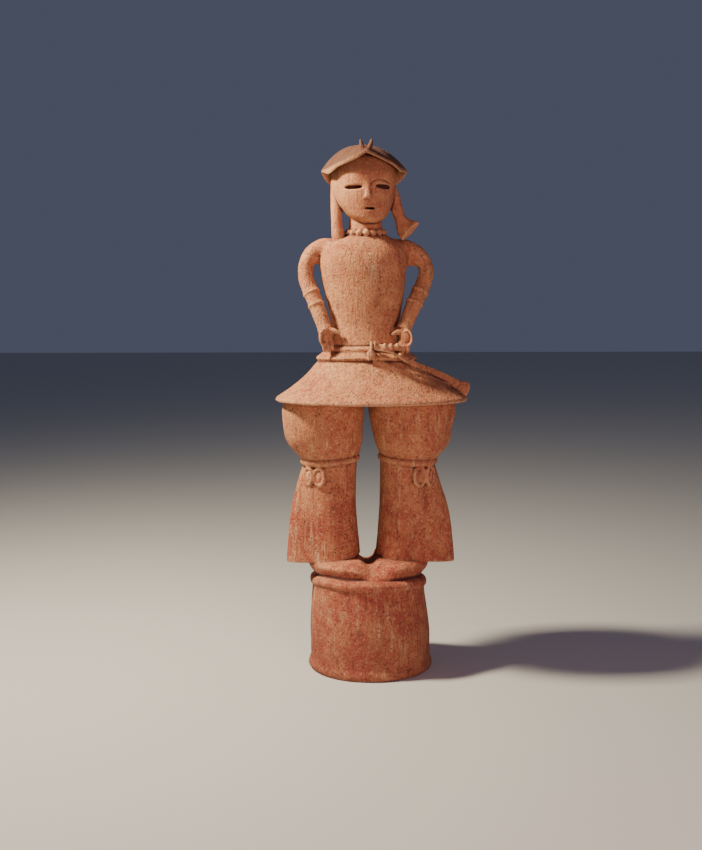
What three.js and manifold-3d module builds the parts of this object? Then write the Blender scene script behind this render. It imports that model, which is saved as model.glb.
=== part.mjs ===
// A haniwa: a hollow terracotta tomb figure of a standing man, fired in one piece with the clay cylinder that
// he stands on. He wears a brimmed cap, looped hair, a bead necklace, a belted jacket with a flaring hem, forearm
// guards, baggy trousers tied below the knee and a sword at his left hip. Millimetres, +Z up, the figure faces -Y.
import * as THREE from "three";
import { mergeVertices } from "three/addons/utils/BufferGeometryUtils.js";
import Module from "manifold-3d";

const wasm = await Module();
wasm.setup();

// ---------------------------------------------------------------- driving dimensions
const WALL = 14; // fired clay wall
const FOOTPRINT = { x: -10, y: 0 }; // moves the base's axis so that the origin is under the middle of the figure

const BASE = {
  bottomR: 146, ridgeR: 151, middleR: 145, topR: 137, bandR: 141.5, bandZ: 215, topZ: 240, lean: -4,
};
const KNEE_Z = 511; // the cord tied round each trouser leg
const HEM_Z = 653; // underside of the jacket's hem
const BELT = { bottomZ: 757, topZ: 784 };
const NECK = { x: -13, z: 1054, r: 42 };
const FACE = { x: -18, chinZ: 1077, capZ: 1183, frontY: -82 }; // from the chin up to the cap's edge
const HEAD_TURN = 0.1; // the head looks a little to the figure's left
const HAT = { x: -16, y: 4, topX: -22, topZ: 1258, sideZ: 1198, reach: 102, depth: 99, backDepth: 92 };

// ---------------------------------------------------------------- making shapes
const lerp = THREE.MathUtils.lerp;

// A smooth value of every column at t, through rows that start with their own t.
function along(rows, t) {
  const last = rows.length - 1;
  const i = THREE.MathUtils.clamp(rows.findIndex((r) => r[0] > t) - 1, 0, last - 1);
  const k = t >= rows[last][0] ? last - 1 : i;
  const [a, b] = [rows[k], rows[k + 1]];
  const [before, after] = [rows[Math.max(k - 1, 0)], rows[Math.min(k + 2, last)]];
  const span = b[0] - a[0];
  const u = THREE.MathUtils.clamp((t - a[0]) / span, 0, 1);
  return a.map((value, c) => {
    const slopeA = ((b[c] - before[c]) / (b[0] - before[0])) * span;
    const slopeB = ((after[c] - a[c]) / (after[0] - a[0])) * span;
    const rise = b[c] - value;
    return value + u * (slopeA + u * (3 * rise - 2 * slopeA - slopeB + u * (slopeA + slopeB - 2 * rise)));
  });
}

// A closed skin over rings of points, with each end closed to its middle.
function skin(rings) {
  const sides = rings[0].length;
  const points = rings.flat();
  const index = [];
  for (let r = 0; r + 1 < rings.length; r++)
    for (let s = 0; s < sides; s++) {
      const [a, b] = [r * sides + s, r * sides + ((s + 1) % sides)];
      index.push(a, b, b + sides, a, b + sides, a + sides);
    }
  for (const [ring, turn] of [[0, 1], [rings.length - 1, 0]]) {
    const middle = rings[ring].reduce((sum, p) => sum.add(p), new THREE.Vector3()).divideScalar(sides);
    points.push(middle);
    for (let s = 0; s < sides; s++) {
      const [a, b] = [ring * sides + s, ring * sides + ((s + 1) % sides)];
      index.push(points.length - 1, turn ? b : a, turn ? a : b);
    }
  }
  return new THREE.BufferGeometry().setFromPoints(points).setIndex(index);
}

// A solid from a closed geometry; a skin whose faces point inwards is turned round.
function solid(geometry) {
  const plain = geometry.clone();
  plain.deleteAttribute("normal");
  plain.deleteAttribute("uv");
  const merged = mergeVertices(plain, 1e-3);
  const triVerts = new Uint32Array(merged.index.array);
  const make = () =>
    new wasm.Manifold(new wasm.Mesh({ numProp: 3, vertProperties: merged.attributes.position.array, triVerts }));
  const made = make();
  if (made.volume() > 0) return made;
  for (let i = 0; i < triVerts.length; i += 3) [triVerts[i], triVerts[i + 1]] = [triVerts[i + 1], triVerts[i]];
  return make();
}

const fuse = (solids) => solids.reduce((whole, s) => whole.add(s));

// One point of an oval with half-width w and half-depth d; above 2, n makes it squarer.
function ovalPoint(angle, x, y, z, w, d, n = 2) {
  const [c, s] = [Math.cos(angle), Math.sin(angle)];
  const bend = (v) => Math.sign(v) * Math.abs(v) ** (2 / n);
  return new THREE.Vector3(x + w * bend(c), y + d * bend(s), z);
}

const around = (sides, f) => Array.from({ length: sides }, (_, i) => f((i / sides) * 2 * Math.PI));

// A body built up of level oval rings. Rows: z, x, y, half-width, half-depth, squareness.
function body(rows, levels, sides) {
  return solid(
    skin(
      levels.map((z) => {
        const [, x, y, w, d, n] = along(rows, z);
        return around(sides, (a) => ovalPoint(a, x, y, z, Math.max(w, 0.5), Math.max(d, 0.5), n));
      }),
    ),
  );
}

const levelsBetween = (low, high, count) =>
  Array.from({ length: count }, (_, i) => lerp(low, high, i / (count - 1)));

// A roll of clay along a smooth line. Rows: t, x, y, z, half-width, half-thickness; across fixes the way of the
// thickness.
function roll(rows, steps, sides, across = new THREE.Vector3(0, 1, 0)) {
  const at = (t) => along(rows, t);
  const [start, end] = [rows[0][0], rows.at(-1)[0]];
  const place = (t) => new THREE.Vector3(...at(t).slice(1, 4));
  const step = (end - start) / 400;
  const rings = steps.map((t) => {
    const [, , , , w, d] = at(t);
    const ahead = place(Math.min(t + step, end)).sub(place(Math.max(t - step, start))).normalize();
    const wide = new THREE.Vector3().crossVectors(across, ahead).normalize();
    const thick = new THREE.Vector3().crossVectors(ahead, wide);
    const middle = place(t);
    return around(sides, (a) =>
      middle
        .clone()
        .addScaledVector(wide, w * Math.cos(a))
        .addScaledVector(thick, d * Math.sin(a)),
    );
  });
  return solid(skin(rings));
}

// A pressed ball of clay.
function lump(x, y, z, w, d, h, sides = 12, turn = 0) {
  const ball = new THREE.SphereGeometry(1, sides, Math.max(5, Math.round(sides * 0.6)));
  ball.rotateX(Math.PI / 2).scale(w, d, h).rotateY(turn).translate(x, y, z);
  return solid(ball);
}

// A bar with flat faces, half-sizes w, d, h, turned about Y, then X, then Z.
function slab(x, y, z, w, d, h, turnY = 0, turnX = 0, turnZ = 0) {
  const box = new THREE.BoxGeometry(2 * w, 2 * d, 2 * h);
  box.rotateY(turnY).rotateX(turnX).rotateZ(turnZ).translate(x, y, z);
  return solid(box);
}

// ---------------------------------------------------------------- base cylinder with its two raised bands
// The upper band was pressed on by hand and rises at the front. The whole cylinder leans a little.
const bandRise = (angle) => -9 * Math.sin(angle) - 3 * Math.cos(angle);
const baseLean = (z) => BASE.lean * THREE.MathUtils.smoothstep(z, 30, BASE.bandZ);

function baseCylinder() {
  const { bottomR, ridgeR, middleR, topR, bandR, bandZ, topZ } = BASE;
  const outline = [
    [0, bottomR], [5, ridgeR - 1], [14, ridgeR], [24, ridgeR - 3], [28, bottomR + 1],
    [100, middleR], [165, topR + 3], [bandZ - 12, topR], [bandZ - 7, bandR - 1], [bandZ + 5, bandR],
    [bandZ + 11, topR - 2], [topZ, topR - 24],
  ];
  const { smoothstep } = THREE.MathUtils;
  const rings = outline.map(([z, r]) => {
    const wave = smoothstep(z, 150, bandZ - 12) * (1 - smoothstep(z, bandZ + 11, topZ));
    return around(26, (a) => ovalPoint(a, baseLean(z), 0, z + wave * bandRise(a), r, r));
  });
  return solid(skin(rings));
}

function baseHollow() {
  const { bottomR, middleR, topR, bandZ, topZ } = BASE;
  const rows = [
    [-2, bottomR - WALL], [100, middleR - WALL], [bandZ - 16, topR - WALL], [topZ - WALL, topR - WALL - 16],
  ];
  return solid(skin(rows.map(([z, r]) => around(20, (a) => ovalPoint(a, baseLean(z), 0, z, r, r)))));
}

// The feet are two mounds in one ring of clay, whose rim overhangs the base at the sides. A valley between them
// runs forward and to the figure's left as it comes down, and a trough runs back from it under the trousers.
const FEET = [
  [222, 130], [246, 131], [255, 127.5], [262, 117], [269, 96], [275, 66],
];
const VALLEY = { topZ: 265, topR: 80, lowZ: 232, lowR: 134, halfWidth: 20, turn: THREE.MathUtils.degToRad(8) };

function feet() {
  const { topZ, topR, lowZ, lowR, halfWidth, turn } = VALLEY;
  const { smoothstep, lerp } = THREE.MathUtils;
  const rings = FEET.map(([z, r]) => {
    const down = (topZ - z) / (topZ - lowZ);
    const floorR = Math.min(r, lerp(topR, lowR, down));
    return around(28, (a) => {
      const fromFront = Math.atan2(Math.cos(a), -Math.sin(a));
      const off = ((fromFront - turn * down) * floorR) / halfWidth;
      const inside = off < 0 ? 1 - smoothstep(-off, 0.1, 2.2) : 1 - smoothstep(off, 0.2, 2.6);
      const heel = 1 - smoothstep(Math.PI - Math.abs(fromFront), 0.06, 0.2);
      const wide = 21 * Math.abs(Math.cos(a)) ** 3 * smoothstep(z, 228, 254);
      const full = r + wide - 28 * heel * smoothstep(z, 244, 262);
      const radius = lerp(full, floorR, inside);
      return ovalPoint(a, BASE.lean, 0, z, radius, radius);
    });
  });
  return solid(skin(rings));
}

const trough = () => roll([[0, -6, -80, 286, 20, 20], [1, -6, 160, 262, 23, 23]], [0, 1], 8);

// ---------------------------------------------------------------- trouser legs
// Rows: z, x midway between the legs, half of the gap there, radius of the leg, reach of its outer edge from
// the middle on the figure's right and on its left, depth. Below the knee that edge runs out into a thin wing.
const LEG = [
  [262, -6, 19, 61, 198, 210, 60],
  [300, -6, 21, 61, 196, 208, 60],
  [390, -6, 28, 61, 187, 196, 61],
  [450, -6, 29.5, 62, 173, 178, 62],
  [486, -5, 29, 64, 163, 166, 64],
  [507, -4, 27.5, 66, 160, 160, 66],
  [518, -3.5, 26, 69.5, 165, 165, 69],
  [538, -3.5, 20, 82.5, 187, 185, 81],
  [560, -5, 14, 92, 199, 199, 90],
  [584, -7.5, 11, 95.5, 202, 204, 95],
  [630, -10, 5, 102, 203, 216, 98],
  [668, -10, 5, 97, 195, 204, 94],
];
const LEG_BOTTOM_X = LEG[0][1];
const WING = 7; // the higher, the thinner the wing
const WING_Y = -14; // the wing stands in front of the leg's middle

// One point of a trouser leg; angle 0 looks outwards, grown moves it off the surface.
function legPoint(side, z, angle, grown = 0) {
  const [, middle, gap, r, reachRight, reachLeft, depth] = along(LEG, z);
  const [c, s] = [Math.cos(angle), Math.sin(angle)];
  const spread = ((side < 0 ? reachRight : reachLeft) - gap - 2 * r) * ((1 + c) / 2) ** WING;
  const out = gap + r + (r + grown) * c + spread;
  return new THREE.Vector3(middle + side * out, (depth + grown) * s + (WING_Y * spread) / 60, z);
}

// The hem of a leg rises inwards, and the cord tied round it dips towards the outside and the front.
function trouserLeg(side) {
  const cord = [[-9, 0], [-4, 5], [4, 5], [9, 0]].map(([dz, grown]) => [KNEE_Z + dz, grown]);
  const plain = [262, 300, 375, 450, 524, 538, 554, 574, 605, 668].map((z) => [z, 0]);
  const levels = [...plain.slice(0, 4), ...cord, ...plain.slice(4)];
  const rings = levels.map(([z, grown]) => {
    const hem = 1 - THREE.MathUtils.smoothstep(z, 262, 330);
    const dip = Math.exp(-(((z - KNEE_Z) / 14) ** 2));
    return around(20, (a) => {
      const p = legPoint(side, z, a, grown);
      p.z += hem * 9 * (1 - Math.cos(a)) + dip * (3 * Math.sin(a) - 6.5 * Math.cos(a));
      return p;
    });
  });
  return solid(skin(rings));
}

const ankle = (side) =>
  body(
    [[232, LEG_BOTTOM_X + side * 80, 0, 50, 54, 2], [285, LEG_BOTTOM_X + side * 80, 0, 48, 50, 2]],
    [232, 285],
    12,
  );

// The cord's bow: two flattened loops, side by side, on the outer front of the leg just under the cord.
function bow(side) {
  const [ringR, cordR, height] = [12.5, 4.2, 1.6];
  const size = side < 0 ? 1 : 1.1;
  return [-1, 1].map((which) => {
    const angle = -THREE.MathUtils.degToRad(53) + which * THREE.MathUtils.degToRad(12.5);
    const at = legPoint(side, KNEE_Z - 35, angle, 0.8);
    const ring = new THREE.TorusGeometry(size * ringR, size * cordR, 4, 8);
    ring.scale(1, height, 1).rotateX(Math.PI / 2).rotateZ(side * (angle + Math.PI / 2));
    return solid(ring.translate(at.x, at.y, at.z));
  });
}

// ---------------------------------------------------------------- jacket: hem, belt and torso, up to the neck
// Rows: z, x, y, half-width, half-depth, squareness. The belt is a band with rolled edges, pressed round the
// waist.
const JACKET = [
  [HEM_Z, 2.5, 0, 227, 161, 2.15],
  [HEM_Z + 6, 2.5, 0, 231, 164, 2.15],
  [HEM_Z + 12, 2.5, 0, 226, 160, 2.15],
  [678, 0.5, 0, 204, 146, 2.1],
  [695, -1, 0, 179, 130, 2.1],
  [715, -3, 0, 153, 113, 2],
  [737, -6, 0, 131, 99, 2],
  [BELT.bottomZ - 3, -9, 0, 116, 91, 2],
  [BELT.bottomZ, -9, 0, 122, 96, 2],
  [BELT.bottomZ + 7, -10, 0, 116, 92, 2],
  [BELT.topZ - 7, -11, 0, 101, 84, 2],
  [BELT.topZ - 2, -11, 0, 101, 84, 2],
  [BELT.topZ + 3, -12, 0, 90, 75, 2.1],
  [832, -13, 0, 81, 69, 2.2],
  [868, -13, 0, 86.5, 70, 2.2],
  [912, -15, 0, 95, 71, 2.2],
  [952, -17.5, 0, 100, 71, 2.25],
  [985, -17.5, 0, 104, 69.5, 2.3],
  [1014, -17, 0, 101, 62, 2.3],
  [1031, -17, 0, 86, 54, 2.2],
  [1041, -15, 0, 64, 48, 2],
  [1050, NECK.x, 0, NECK.r + 2, NECK.r, 2],
  [1090, -12, 0, 38, 40, 2],
];

// The jacket's hem is open below as a shallow hollow behind its rim.
function jacket() {
  const sides = 26;
  const [z, x, y, w, d, n] = JACKET[0];
  const hollow = around(sides, (a) => ovalPoint(a, x, y, z + 7, w - 18, d - 16, n));
  const { smoothstep } = THREE.MathUtils;
  const rings = JACKET.map(([z, x, y, w, d, n]) => {
    const dip = smoothstep(z, 737, BELT.bottomZ - 2) * (1 - smoothstep(z, BELT.topZ + 2, 832));
    return around(sides, (a) => ovalPoint(a, x, y, z + dip * (3 * Math.sin(a) ** 2 - 2), w, d, n));
  });
  return solid(skin([hollow, ...rings]));
}

// The belt's hanging end: a small tab with a pointed top and a notched foot.
function beltTab() {
  const shape = new THREE.Shape();
  shape.moveTo(-8, -15).lineTo(1, -10).lineTo(8, -16).lineTo(10, 5).lineTo(0, 15).lineTo(-10, 6).closePath();
  const tab = new THREE.ExtrudeGeometry(shape, { depth: 10, bevelEnabled: false });
  tab.rotateX(Math.PI / 2).translate(-3.5, -85, 768);
  return solid(tab);
}

// ---------------------------------------------------------------- arms with forearm guards
// Rows: t, x, y, z, half-width, half-thickness. The wearer's right arm is at -X.
const RIGHT_ARM = [
  [0, -80, 4, 1010, 27, 32],
  [1, -112, 4, 1016, 25, 27],
  [2, -139, 3, 1004, 20, 22],
  [3, -153, 1, 980, 18, 19.5],
  [4, -155.5, -3, 956, 18, 19],
  [5, -151, -8, 934, 18.5, 19],
  [6, -140, -19, 908, 18.5, 18.5],
  [7, -130, -28, 882, 18, 18],
  [8, -119, -38, 852, 17.5, 17],
  [9, -107, -49, 820, 16, 15],
];
const LEFT_ARM = [
  [0, 44, 4, 1009, 27, 32],
  [1, 78, 4, 1013, 25, 27],
  [2, 108, 3, 1004, 21, 22],
  [3, 128, 1, 982, 18, 19.5],
  [4, 133, -3, 960, 17.5, 19],
  [5, 127, -8, 937, 18, 19],
  [6, 115, -19, 911, 18.5, 18.5],
  [7, 102, -28, 886, 18.5, 18],
  [8, 88, -39, 854, 17.5, 17],
  [9, 75, -50, 824, 16, 15],
];
// The sleeve ends in a flared edge, and the guard below it has a thin raised rim and a cuff at the wrist.
const ARM_SLEEVE_T = 5.95;
const ARM_RIM_T = 6.95;
const ARM_STEPS = [0, 0.8, 1.5, 2.1, 2.7, 3.3, 3.9, 4.8];

function arm(rows) {
  const grow = (t, by) => {
    const [, x, y, z, w, d] = along(rows, t);
    return [t, x, y, z, w + by, d + by];
  };
  const collar = [
    [5.7, 0.3], [ARM_SLEEVE_T, 4], [ARM_SLEEVE_T + 0.06, 0.5], [ARM_RIM_T - 0.12, 0.3], [ARM_RIM_T, 4],
    [ARM_RIM_T + 0.12, 0.5], [8, 0.3], [8.74, 0.5], [8.8, 3], [9, 2],
  ];
  const steps = [...ARM_STEPS, ...collar.map(([t]) => t)];
  const growth = [...ARM_STEPS.map(() => 0), ...collar.map(([, by]) => by)];
  const rings = steps.map((t, i) => grow(t, growth[i]));
  const straight = rings.map((row, i) => [i, ...row.slice(1)]);
  return roll(straight, straight.map((row) => row[0]), 8);
}

// A hand hangs from the cuff: palm, a rimmed oval guard on its back, three fingertips below and a thumb turned
// in.
function hand(side, x, y, z) {
  const at = (dx, dy, dz) => [x + side * dx, y + dy, z + dz];
  const guard = new THREE.TorusGeometry(12, 3.2, 4, 8);
  guard.scale(0.95, 1.52, 1).rotateX(Math.PI / 2).rotateZ(-side * 0.4).translate(...at(4, -13, 0));
  const finger = (dx, length) => {
    const [knuckle, middle, tip] = [at(dx + 3, -2, -8), at(dx, -11, -22), at(dx - 1.5, -11, -length)];
    return roll([[0, ...knuckle, 6, 6], [1, ...middle, 5, 5], [2, ...tip, 3.4, 3.4]], [0, 1, 2], 6);
  };
  const [palm, joint, thumbTip] = [at(-4, -2, 14), at(-18, -6, 14), at(-33, -8, 8)];
  return [
    lump(...at(2, -2, 0), 16, 13, 25, 6),
    solid(guard),
    finger(6, 36),
    finger(-4, 36),
    finger(-13, 31),
    roll([[0, ...palm, 8, 7], [1, ...joint, 7, 6], [2, ...thumbTip, 3.5, 3.5]], [0, 1, 2], 6),
  ];
}

// ---------------------------------------------------------------- neck, necklace and head
function necklace() {
  const [count, beadR, stringR, ringR] = [16, 8, 3.5, NECK.r + 1];
  const string = new THREE.TorusGeometry(ringR, 1, 5, 2 * count);
  const place = string.attributes.position;
  for (let i = 0; i < place.count; i++) {
    const p = new THREE.Vector3().fromBufferAttribute(place, i);
    const angle = Math.atan2(p.y, p.x);
    const middle = new THREE.Vector3(ringR * Math.cos(angle), ringR * Math.sin(angle), 0);
    const thick = lerp(stringR, beadR, (1 + Math.cos(count * angle)) / 2);
    p.sub(middle).multiplyScalar(thick).add(middle);
    place.setXYZ(i, p.x + NECK.x, p.y, p.z + NECK.z + 2 * Math.sin(angle));
  }
  return solid(string);
}

// Rows: z, x, y, half-width, half-depth, squareness. The chin stands forward of the neck and a little to the
// left.
const HEAD = [
  [1075, 9, -28, 16, 38, 2],
  [1079, 9, -26, 27, 48, 2.1],
  [1086, 8, -21, 39, 57, 2.2],
  [1099, 6, -14, 51, 66, 2.2],
  [1118, 3, -7, 63, 74, 2.2],
  [1140, 1, -2, 71, 79, 2.2],
  [1165, 0, 1, 75, 81, 2.2],
  [1206, 2, 2, 73, 79, 2.1],
  [1226, 2, 3, 62, 70, 2],
  [1246, -4, 5, 26, 32, 2],
];

// What belongs to the head is made about its own upright axis and then turned and set on the neck.
const onNeck = (made) => made.rotate([0, 0, THREE.MathUtils.radToDeg(HEAD_TURN)]).translate([FACE.x, 0, 0]);

function head() {
  const rings = HEAD.map(([z, x, y, w, d, n]) => around(22, (a) => ovalPoint(a, x, y, z, w, d, n)));
  return onNeck(solid(skin(rings)));
}

// The face is set out in quarters of its own height: mouth at one quarter, nose from two to three, eyes at
// three.
const faceLevel = (quarters) => lerp(FACE.chinZ, FACE.capZ, quarters / 4);

function faceRelief() {
  const bridge = [[-3.5, 8, 0], [3.5, 8, 0], [-3, -2, 0], [3, -2, 0]];
  const tip = [[-10, 8, -37], [8, 8, -37], [-8, -13, -34], [5.5, -13, -34]];
  const corners = [...bridge, ...tip].map(([x, y, z]) => new THREE.Vector3(x, y, z));
  const faces = [[0, 1, 3, 2], [2, 3, 7, 6], [6, 7, 5, 4], [4, 5, 1, 0], [1, 5, 7, 3], [0, 2, 6, 4]];
  const nose = new THREE.BufferGeometry().setFromPoints(corners);
  nose.setIndex(faces.flatMap(([a, b, c, d]) => [a, b, c, a, c, d]));
  nose.translate(-1, FACE.frontY + 4, faceLevel(3.3));
  return onNeck(solid(nose));
}

// Eyes and mouth are leaf-shaped slits cut with a knife.
function slit(x, z, halfLength, halfHeight, tilt = 0) {
  const leaf = new THREE.Shape();
  leaf.moveTo(-halfLength, 0);
  leaf.quadraticCurveTo(0, 2 * halfHeight, halfLength, 0);
  leaf.quadraticCurveTo(0, -2 * halfHeight, -halfLength, 0);
  const cut = new THREE.ExtrudeGeometry(leaf, { depth: 60, bevelEnabled: false, curveSegments: 4 });
  cut.rotateX(Math.PI / 2).rotateY(tilt).translate(x, -50, z);
  return solid(cut);
}

function faceSlits() {
  const eyeApart = 34;
  return [
    slit(-eyeApart + 2, faceLevel(3) - 2, 20, 4.8, -0.03),
    slit(eyeApart + 2, faceLevel(3), 19, 4.8, 0.06),
    slit(4, faceLevel(1.1), 13, 2.4),
  ].map(onNeck);
}

// ---------------------------------------------------------------- hair rolls
function hair() {
  const right = [
    [0, -82, 6, 1172, 12, 16],
    [1, -83, 0, 1140, 12.5, 14],
    [2, -82, -8, 1105, 13, 13],
    [3, -81, -15, 1070, 13.5, 13],
    [4, -80, -21, 1047, 13.5, 13],
    [5, -78, -24, 1034, 11, 10],
  ];
  const left = [
    [0, 48, 6, 1168, 10, 14],
    [1, 56, 0, 1138, 12, 13],
    [2, 62, -7, 1108, 14, 13],
    [3, 71, -12, 1084, 14.5, 12],
    [4, 82, -18, 1066, 25, 11.5],
    [5, 93, -27, 1055, 29.5, 11],
  ];
  const steps = [0, 1, 2, 3, 4, 5];
  return [roll(right, steps, 9), roll(left, steps, 9), lump(58, 0, 1133, 14.5, 15, 5, 8, -0.2)];
}

// ---------------------------------------------------------------- hat
// The brim is one arched sheet. Its edge peaks at the front, points out at the sides and drops behind.
function brimEdge(angle) {
  const [c, s] = [Math.cos(angle), Math.sin(angle)];
  const p = ovalPoint(angle, HAT.x, 0, 0, HAT.reach, s < 0 ? HAT.depth : HAT.backDepth, 1.75);
  const inwards = 1 - Math.abs(p.x - HAT.x) / HAT.reach;
  const front = 40 * inwards ** 1.15 - 8 * Math.exp(-(((inwards - 0.17) / 0.13) ** 2));
  p.z = HAT.sideZ + (s < 0 ? front : -55 * s ** 1.27);
  p.y -= 6 * Math.abs(c) ** 3;
  return p;
}

// The sheet is thicker at the front of the figure's right.
function brimThickness(angle) {
  const { smoothstep } = THREE.MathUtils;
  return 9 + 5 * smoothstep(-Math.sin(angle), 0.1, 0.5) * smoothstep(-Math.cos(angle), -0.1, 0.3);
}

function brim() {
  const sheet = (t, under) =>
    around(26, (a) => {
      const edge = brimEdge(a);
      const z = HAT.topZ - (HAT.topZ - edge.z) * t ** 2.4 - (under ? brimThickness(a) : 0);
      return new THREE.Vector3(lerp(HAT.topX, edge.x, t), lerp(HAT.y, edge.y, t), z);
    });
  const over = [0.15, 0.45, 0.7, 0.88, 1].map((t) => sheet(t, false));
  const beneath = [1, 0.78, 0.45].map((t) => sheet(t, true));
  return solid(skin([...over, ...beneath]));
}

// A forked knot of two short prongs on the brim's front peak.
function hatKnot() {
  const prong = (side) => {
    const [bend, tip] = [HAT.x + side * 9, HAT.x + side * 13.5];
    const rows = [[0, HAT.x, -88, 1232, 9, 7], [1, bend, -86, 1244, 6.5, 7], [2, tip, -82, 1263, 2.8, 4]];
    return roll(rows, [0, 1, 2], 6);
  };
  return [prong(-1), prong(1)];
}

// ---------------------------------------------------------------- sword at the left hip
function sword() {
  const scabbardLine = [
    [0, 60, -68, 764, 10, 7], [1, 104, -46, 735, 14.5, 9], [2, 166, 4, 707, 17, 10],
    [3, 210, 38, 684, 18, 11], [4, 224, 48, 677, 19, 12],
  ];
  const scabbard = roll(scabbardLine, [0, 1, 2, 3, 4], 8);
  const chape = roll([[0, 222, 47, 678, 22, 13], [1, 238, 58, 671, 22, 14]], [0, 1], 8);
  const hilt = roll([[0, 2, -92, 787, 7, 7], [1, 40, -92, 786, 6.5, 7], [2, 74, -76, 782, 8, 8]], [0, 1, 2], 7);
  const pommel = [-1, 1].map((side) => slab(1 + side * 4.5, -95, 790, 2.6, 6, 10, side * 0.12));
  const strapLine = [
    [0, 8, -97, 781, 3.5, 3], [1, 38, -99, 776, 3.5, 3], [2, 60, -91, 765, 3.5, 3],
    [3, 82, -80, 751, 3.5, 3], [4, 98, -64, 757, 3.5, 3],
  ];
  const strap = roll(strapLine, [0, 1, 2, 3, 4], 5);
  const beads = [[28, -98], [42, -97], [57, -91]].map(([x, y]) => lump(x, y, 788, 5.5, 6, 9, 5));
  return [scabbard, chape, hilt, ...pommel, strap, ...beads];
}

// ---------------------------------------------------------------- the whole figure
const sides = [-1, 1];
const clay = fuse([
  baseCylinder(),
  feet().subtract(trough()),
  ...sides.map(ankle),
  ...sides.map(trouserLeg),
  ...sides.flatMap(bow),
  jacket(),
  beltTab(),
  arm(RIGHT_ARM),
  arm(LEFT_ARM),
  lump(-126, 2, 995, 15, 14, 14, 6),
  lump(97, 2, 991, 19, 14, 16, 6),
  ...hand(-1, -107, -55, 809),
  ...hand(1, 78, -56, 806),
  head(),
  faceRelief(),
  necklace(),
  ...hair(),
  brim(),
  ...hatKnot(),
  ...sword(),
]);
const figure = clay.subtract(fuse([baseHollow(), ...faceSlits()]));

function geometryOf(made) {
  const mesh = made.getMesh();
  const g = new THREE.BufferGeometry();
  g.setAttribute("position", new THREE.BufferAttribute(mesh.vertProperties, 3));
  g.setIndex(new THREE.BufferAttribute(mesh.triVerts, 1));
  g.computeVertexNormals();
  return g;
}

const terracotta = new THREE.MeshStandardMaterial({ color: 0xb06a48, roughness: 0.92, metalness: 0 });
const haniwa = new THREE.Mesh(geometryOf(figure), terracotta);
haniwa.name = "haniwa_figure";
haniwa.position.set(FOOTPRINT.x, FOOTPRINT.y, 0);

const group = new THREE.Group();
group.add(haniwa);
export default group;
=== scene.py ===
import math

import bpy
import numpy as np
import openvdb as vdb
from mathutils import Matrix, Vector, noise


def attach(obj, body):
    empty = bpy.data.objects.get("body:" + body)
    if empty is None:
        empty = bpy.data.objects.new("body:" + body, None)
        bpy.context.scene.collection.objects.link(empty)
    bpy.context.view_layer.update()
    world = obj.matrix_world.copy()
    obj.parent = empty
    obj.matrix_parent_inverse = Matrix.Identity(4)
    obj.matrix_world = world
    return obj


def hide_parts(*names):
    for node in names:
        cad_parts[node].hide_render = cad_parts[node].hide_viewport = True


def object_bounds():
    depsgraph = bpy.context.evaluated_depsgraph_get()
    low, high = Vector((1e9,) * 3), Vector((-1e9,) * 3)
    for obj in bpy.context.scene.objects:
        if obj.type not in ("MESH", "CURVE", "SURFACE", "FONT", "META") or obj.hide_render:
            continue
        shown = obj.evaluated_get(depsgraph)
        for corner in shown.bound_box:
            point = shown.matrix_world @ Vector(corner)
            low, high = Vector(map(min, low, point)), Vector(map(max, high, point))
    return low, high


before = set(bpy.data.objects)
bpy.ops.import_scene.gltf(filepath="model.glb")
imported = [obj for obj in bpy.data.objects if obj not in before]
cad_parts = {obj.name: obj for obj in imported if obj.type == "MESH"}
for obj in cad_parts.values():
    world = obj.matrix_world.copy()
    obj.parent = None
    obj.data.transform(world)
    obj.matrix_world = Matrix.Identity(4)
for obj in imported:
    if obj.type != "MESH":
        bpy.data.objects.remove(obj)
cad_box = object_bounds()

# ---------------------------------------------------------------- base cylinder
# A haniwa stands on a tube of coiled clay, smoothed with a wooden paddle, that was pushed into the ground
# round a tomb. The potter pinched a ridge at its foot and pressed a band of clay round it just under the
# figure's feet. The whole figure is one wall of fired clay, so each part is pressed onto one block of
# clay, in millimetres.
AXIS_X = -10  # the cylinder's axis stands this far to the side of the figure's middle
GRAIN = 2.0  # the clay block is kept as distances to the surface on a grid of this spacing
BAND = 7  # and only this many grid steps to either side of the surface
BLOCK_LOW = np.array([-246.0, -174.0, -8.0])
BLOCK_HIGH = np.array([258.0, 174.0, 1274.0])
clay = np.full(np.ceil((BLOCK_HIGH - BLOCK_LOW) / GRAIN).astype(int) + 1, BAND * GRAIN, np.float32)


def along(rows, t):
    """Smooth values of the rows' columns at each t; the first column is t itself."""
    rows, t = np.array(rows, float), np.atleast_1d(np.array(t, float))
    last = len(rows) - 1
    k = np.clip(np.searchsorted(rows[:, 0], t, side="right") - 1, 0, last - 1)
    a, b, before, after = rows[k], rows[k + 1], rows[np.maximum(k - 1, 0)], rows[np.minimum(k + 2, last)]
    span, rise = (b - a)[:, :1], b - a
    u = np.clip((t[:, None] - a[:, :1]) / span, 0, 1)
    slope_a = (b - before) / (b - before)[:, :1] * span
    slope_b = (after - a) / (after - a)[:, :1] * span
    return a + u * (slope_a + u * (3 * rise - 2 * slope_a - slope_b + u * (slope_a + slope_b - 2 * rise)))


def smoothstep(value, low, high):
    u = np.clip((value - low) / (high - low), 0, 1)
    return u * u * (3 - 2 * u)


def angles(sides):
    return np.linspace(0, 2 * math.pi, sides, endpoint=False)


def oval(angle, x, y, z, w, d, n=2.0):
    """Points of an oval of half-width w and half-depth d; above 2, n makes it squarer."""
    c, s = np.cos(angle), np.sin(angle)
    across = x + w * np.sign(c) * np.abs(c) ** (2 / n)
    deep = y + d * np.sign(s) * np.abs(s) ** (2 / n)
    return np.stack([across, deep, np.broadcast_to(z, across.shape)], axis=-1)


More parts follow.
